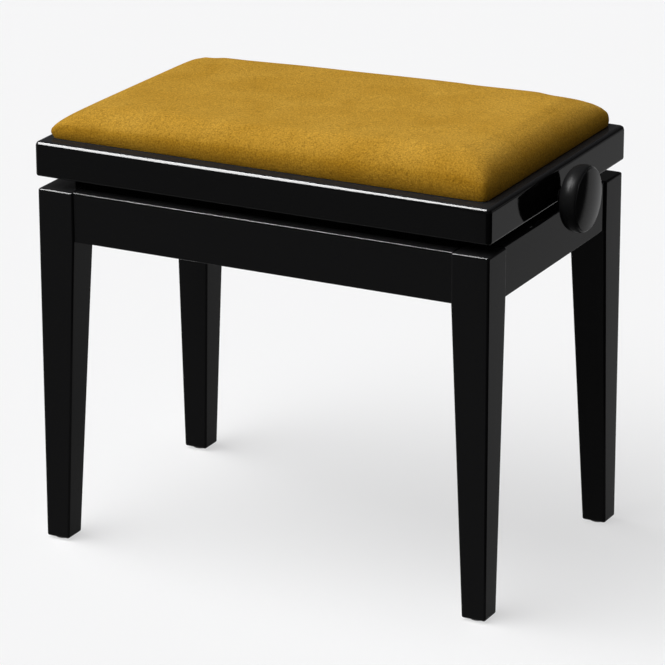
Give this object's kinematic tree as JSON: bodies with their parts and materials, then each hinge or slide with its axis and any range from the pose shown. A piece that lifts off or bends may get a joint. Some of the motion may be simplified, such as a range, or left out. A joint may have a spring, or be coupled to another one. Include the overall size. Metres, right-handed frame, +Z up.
{
  "type": "adjustable piano bench",
  "caption": "Height-adjustable piano bench: rectangular velvet seat in a gloss black frame on tapered legs, raised by a scissor lift that a side knob drives.",
  "frame": {"origin": "on the floor under the middle of the whole bench's box, knob included, with the seat at its rest height", "axes": "+X along the seat's length towards the knob, -Y to the front long side, +Z up"},
  "size_m": [0.587, 0.35, 0.5092],
  "materials": {
    "lacquer": "black high-gloss lacquer on hardwood",
    "knob": "black gloss",
    "velvet": "mustard velvet pile",
    "foam": "open-cell upholstery foam",
    "plywood": "raw birch plywood",
    "beech": "raw planed beech",
    "zinc": "zinc-plated pressed steel",
    "steel": "bright turned steel",
    "brass": "machined brass",
    "nylon": "black nylon"
  },
  "bodies": {
    "leg_frame": {"leg_front_left": "lacquer", "leg_front_right": "lacquer", "leg_rear_left": "lacquer", "leg_rear_right": "lacquer", "apron_front": "lacquer", "apron_rear": "lacquer", "apron_left": "lacquer", "apron_right": "lacquer", "foot_glide_front_left": "nylon", "foot_glide_front_right": "nylon", "foot_glide_rear_left": "nylon", "foot_glide_rear_right": "nylon", "corner_block_front_left": "beech", "corner_block_front_right": "beech", "corner_block_rear_left": "beech", "corner_block_rear_right": "beech", "corner_bolt_front_left": "zinc", "corner_bolt_front_right": "zinc", "corner_bolt_rear_left": "zinc", "corner_bolt_rear_right": "zinc", "crossbar_left": "beech", "crossbar_right": "beech", "lower_track_front": "zinc", "lower_track_rear": "zinc", "lower_track_screw_front_left": "steel", "lower_track_screw_front_right": "steel", "lower_track_screw_rear_left": "steel", "lower_track_screw_rear_right": "steel", "lower_pivot_rod": "steel"},
    "seat": {"seat_rail_front": "lacquer", "seat_rail_rear": "lacquer", "seat_rail_left": "lacquer", "seat_rail_right": "lacquer", "seat_board": "plywood", "foam_pad": "foam", "cushion_cover": "velvet", "upper_track_front": "zinc", "upper_track_rear": "zinc", "upper_track_screw_front_left": "steel", "upper_track_screw_front_right": "steel", "upper_track_screw_rear_left": "steel", "upper_track_screw_rear_right": "steel", "upper_pivot_rod": "steel", "bearing_plate": "zinc", "end_bracket": "zinc", "knob_washer": "nylon"},
    "rising_arms": {"rising_arm_front": "zinc", "rising_arm_rear": "zinc", "centre_pin_front": "steel", "centre_pin_rear": "steel"},
    "falling_arms": {"falling_arm_front": "zinc", "falling_arm_rear": "zinc", "lower_sliding_rod": "steel"},
    "nut": {"spindle_nut": "brass"},
    "knob_and_spindle": {"knob": "knob", "spindle": "steel", "thrust_collar": "steel", "knob_set_screw": "steel"}
  },
  "joints": [
    {"name": "seat_lift", "type": "slide", "parent": "leg_frame", "child": "seat", "axis": [0, 0, 1], "range_m": [-0.012, 0.085]},
    {"name": "rising_arm_turn", "type": "hinge", "parent": "leg_frame", "child": "rising_arms", "pos_m": [-0.1664, 0, 0.383], "axis": [0, -1, 0], "range_deg": [-2.5, 17.3]},
    {"name": "falling_arm_turn", "type": "hinge", "parent": "seat", "child": "falling_arms", "pos_m": [-0.1664, 0, 0.433], "axis": [0, 1, 0], "range_deg": [-2.5, 17.3]},
    {"name": "nut_slide", "type": "slide", "parent": "seat", "child": "nut", "axis": [1, 0, 0], "range_m": [-0.0279, 0.004]},
    {"name": "knob_turn", "type": "hinge", "parent": "seat", "child": "knob_and_spindle", "pos_m": [0.275, 0, 0.433], "axis": [-1, 0, 0], "range_deg": [-473, 3348]}
  ],
  "couplings": [
    {"joint": "rising_arm_turn", "follows": "seat_lift", "rad_per_m": 3.5214},
    {"joint": "falling_arm_turn", "follows": "seat_lift", "rad_per_m": 3.5214},
    {"joint": "nut_slide", "follows": "seat_lift", "ratio": -0.32818},
    {"joint": "knob_turn", "follows": "seat_lift", "rad_per_m": 687.34}
  ]
}
